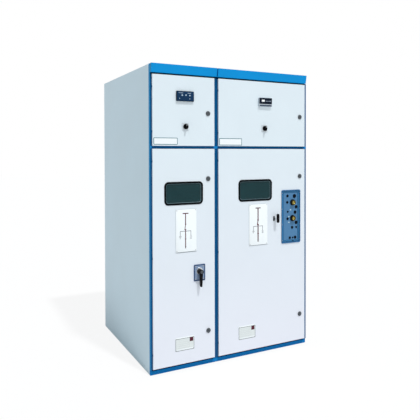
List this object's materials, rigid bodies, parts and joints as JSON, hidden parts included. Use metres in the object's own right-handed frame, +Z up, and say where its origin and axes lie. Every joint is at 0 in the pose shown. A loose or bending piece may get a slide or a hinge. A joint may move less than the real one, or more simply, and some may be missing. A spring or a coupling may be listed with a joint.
{
  "type": "ring main unit",
  "caption": "Floor-standing metal-enclosed ring main unit: a narrow load switch cabinet beside a wide breaker cabinet, with hinged doors, locks, windows and drive handles.",
  "frame": {"origin": "on the floor under the middle of the bounding box", "axes": "+Z up, doors face -Y, +X to the right seen from the front"},
  "size_m": [1.3, 1.174, 2.1],
  "materials": {
    "frame_blue": "smooth enamel",
    "header_blue": "smooth enamel",
    "panel_grey": "fine texture",
    "door_white": "fine texture",
    "panel_blue": "smooth enamel",
    "zinc_steel": "zinc plated",
    "lock_chrome": "polished",
    "copper": "bare copper",
    "brass": "turned",
    "resin": "cast resin",
    "shaft_laminate": "glass-fibre laminate",
    "rubber": "matte",
    "dark_glass": "tinted",
    "black_plastic": "satin",
    "pale_plastic": "satin",
    "dark_plastic": "satin"
  },
  "bodies": {
    "cabinet": {"base_rails": "frame_blue", "front_posts": "frame_blue", "front_rails": "frame_blue", "headers": "header_blue", "side_panels": "panel_grey", "inner_walls": "zinc_steel", "roof_panels": "panel_grey", "relief_flaps": "panel_grey", "rear_covers": "panel_grey", "floor_plates": "zinc_steel", "instrument_sheets": "zinc_steel", "door_seals": "rubber", "hinge_pins": "zinc_steel", "cross_beams": "zinc_steel", "post_insulators": "resin", "main_busbars": "copper", "copper_links": "copper", "switch_contacts": "copper", "cable_bars": "copper", "breaker_frame": "zinc_steel", "breaker_poles": "resin", "current_transformers": "resin", "earth_bars": "copper", "mechanism_housing": "panel_blue"},
    "upper_left_door": {"door_upper_left": "door_white", "lock_housing_upper_left": "lock_chrome", "selector_base_left": "pale_plastic", "live_indicator": "dark_plastic"},
    "lower_left_door": {"door_lower_left": "door_white", "window_pane_left": "dark_glass", "window_gasket_left": "rubber", "lock_housings_lower_left": "lock_chrome", "handle_plate": "panel_blue"},
    "upper_right_door": {"door_upper_right": "door_white", "lock_housing_upper_right": "lock_chrome", "selector_base_right": "pale_plastic", "protection_relay": "dark_plastic"},
    "lower_right_door": {"door_lower_right": "door_white", "window_pane_right": "dark_glass", "window_gasket_right": "rubber", "lock_housings_lower_right": "lock_chrome", "mechanism_bezel": "header_blue"},
    "upper_left_lock": {"lock_cam_upper_left": "lock_chrome"},
    "mid_left_lock": {"lock_cam_mid_left": "lock_chrome"},
    "low_left_lock": {"lock_cam_low_left": "lock_chrome"},
    "left_selector": {"selector_knob_left": "black_plastic"},
    "upper_right_lock": {"lock_cam_upper_right": "lock_chrome"},
    "mid_right_lock": {"lock_cam_mid_right": "lock_chrome"},
    "low_right_lock": {"lock_cam_low_right": "lock_chrome"},
    "right_selector": {"selector_knob_right": "black_plastic"},
    "lever": {"operating_lever": "black_plastic"},
    "oval_knob": {"oval_knob": "black_plastic"},
    "high_socket": {"drive_socket_high": "brass"},
    "low_socket": {"drive_socket_low": "brass"},
    "load_switch": {"switch_shaft": "shaft_laminate", "switch_blades": "copper"},
    "isolator": {"isolator_shaft": "shaft_laminate", "isolator_blades": "copper"},
    "earthing_switch": {"earthing_shaft": "zinc_steel"}
  },
  "joints": [
    {"name": "upper_left_door_swing", "type": "hinge", "parent": "cabinet", "child": "upper_left_door", "pos_m": [-0.633, -0.541, 1.79], "axis": [0, 0, -1], "range_deg": [0, 100]},
    {"name": "lower_left_door_swing", "type": "hinge", "parent": "cabinet", "child": "lower_left_door", "pos_m": [-0.633, -0.541, 0.788], "axis": [0, 0, -1], "range_deg": [0, 100]},
    {"name": "upper_left_lock_turn", "type": "hinge", "parent": "upper_left_door", "child": "upper_left_lock", "pos_m": [-0.2222, -0.547, 1.778], "axis": [0, -1, 0], "range_deg": [0, 90]},
    {"name": "mid_left_lock_turn", "type": "hinge", "parent": "lower_left_door", "child": "mid_left_lock", "pos_m": [-0.2222, -0.547, 1.32], "axis": [0, -1, 0], "range_deg": [0, 90]},
    {"name": "low_left_lock_turn", "type": "hinge", "parent": "lower_left_door", "child": "low_left_lock", "pos_m": [-0.2222, -0.547, 0.246], "axis": [0, -1, 0], "range_deg": [0, 90]},
    {"name": "left_selector_turn", "type": "hinge", "parent": "upper_left_door", "child": "left_selector", "pos_m": [-0.396, -0.547, 1.683], "axis": [0, 1, 0], "range_deg": [-45, 45]},
    {"name": "upper_right_door_swing", "type": "hinge", "parent": "cabinet", "child": "upper_right_door", "pos_m": [-0.1328, -0.541, 1.79], "axis": [0, 0, -1], "range_deg": [0, 100]},
    {"name": "lower_right_door_swing", "type": "hinge", "parent": "cabinet", "child": "lower_right_door", "pos_m": [-0.1328, -0.541, 0.788], "axis": [0, 0, -1], "range_deg": [0, 100]},
    {"name": "upper_right_lock_turn", "type": "hinge", "parent": "upper_right_door", "child": "upper_right_lock", "pos_m": [0.578, -0.547, 1.778], "axis": [0, -1, 0], "range_deg": [0, 90]},
    {"name": "mid_right_lock_turn", "type": "hinge", "parent": "lower_right_door", "child": "mid_right_lock", "pos_m": [0.578, -0.547, 1.32], "axis": [0, -1, 0], "range_deg": [0, 90]},
    {"name": "low_right_lock_turn", "type": "hinge", "parent": "lower_right_door", "child": "low_right_lock", "pos_m": [0.578, -0.547, 0.246], "axis": [0, -1, 0], "range_deg": [0, 90]},
    {"name": "right_selector_turn", "type": "hinge", "parent": "upper_right_door", "child": "right_selector", "pos_m": [0.2522, -0.547, 1.683], "axis": [0, 1, 0], "range_deg": [-45, 45]},
    {"name": "lever_turn", "type": "hinge", "parent": "lower_left_door", "child": "lever", "pos_m": [-0.292, -0.547, 0.675], "axis": [0, 1, 0], "range_deg": [0, 90]},
    {"name": "oval_knob_turn", "type": "hinge", "parent": "lower_right_door", "child": "oval_knob", "pos_m": [0.3542, -0.547, 1.008], "axis": [0, 1, 0], "range_deg": [0, 90]},
    {"name": "high_socket_turn", "type": "hinge", "parent": "cabinet", "child": "high_socket", "pos_m": [0.5122, -0.547, 1.119], "axis": [0, 1, 0], "range_deg": [0, 90]},
    {"name": "low_socket_turn", "type": "hinge", "parent": "cabinet", "child": "low_socket", "pos_m": [0.5122, -0.547, 0.997], "axis": [0, 1, 0], "range_deg": [0, 90]},
    {"name": "load_switch_turn", "type": "hinge", "parent": "cabinet", "child": "load_switch", "pos_m": [-0.4, 0.012, 1.155], "axis": [1, 0, 0], "range_deg": [0, 60]},
    {"name": "isolator_turn", "type": "hinge", "parent": "cabinet", "child": "isolator", "pos_m": [0.2502, 0.012, 1.155], "axis": [1, 0, 0], "range_deg": [0, 60]},
    {"name": "earthing_switch_turn", "type": "hinge", "parent": "cabinet", "child": "earthing_switch", "pos_m": [0.2502, 0.027, 0.33], "axis": [-1, 0, 0], "range_deg": [0, 90]}
  ],
  "couplings": [
    {"joint": "lever_turn", "follows": "load_switch_turn", "ratio": 1.5},
    {"joint": "high_socket_turn", "follows": "isolator_turn", "ratio": 1.5},
    {"joint": "low_socket_turn", "follows": "earthing_switch_turn", "ratio": 1}
  ]
}
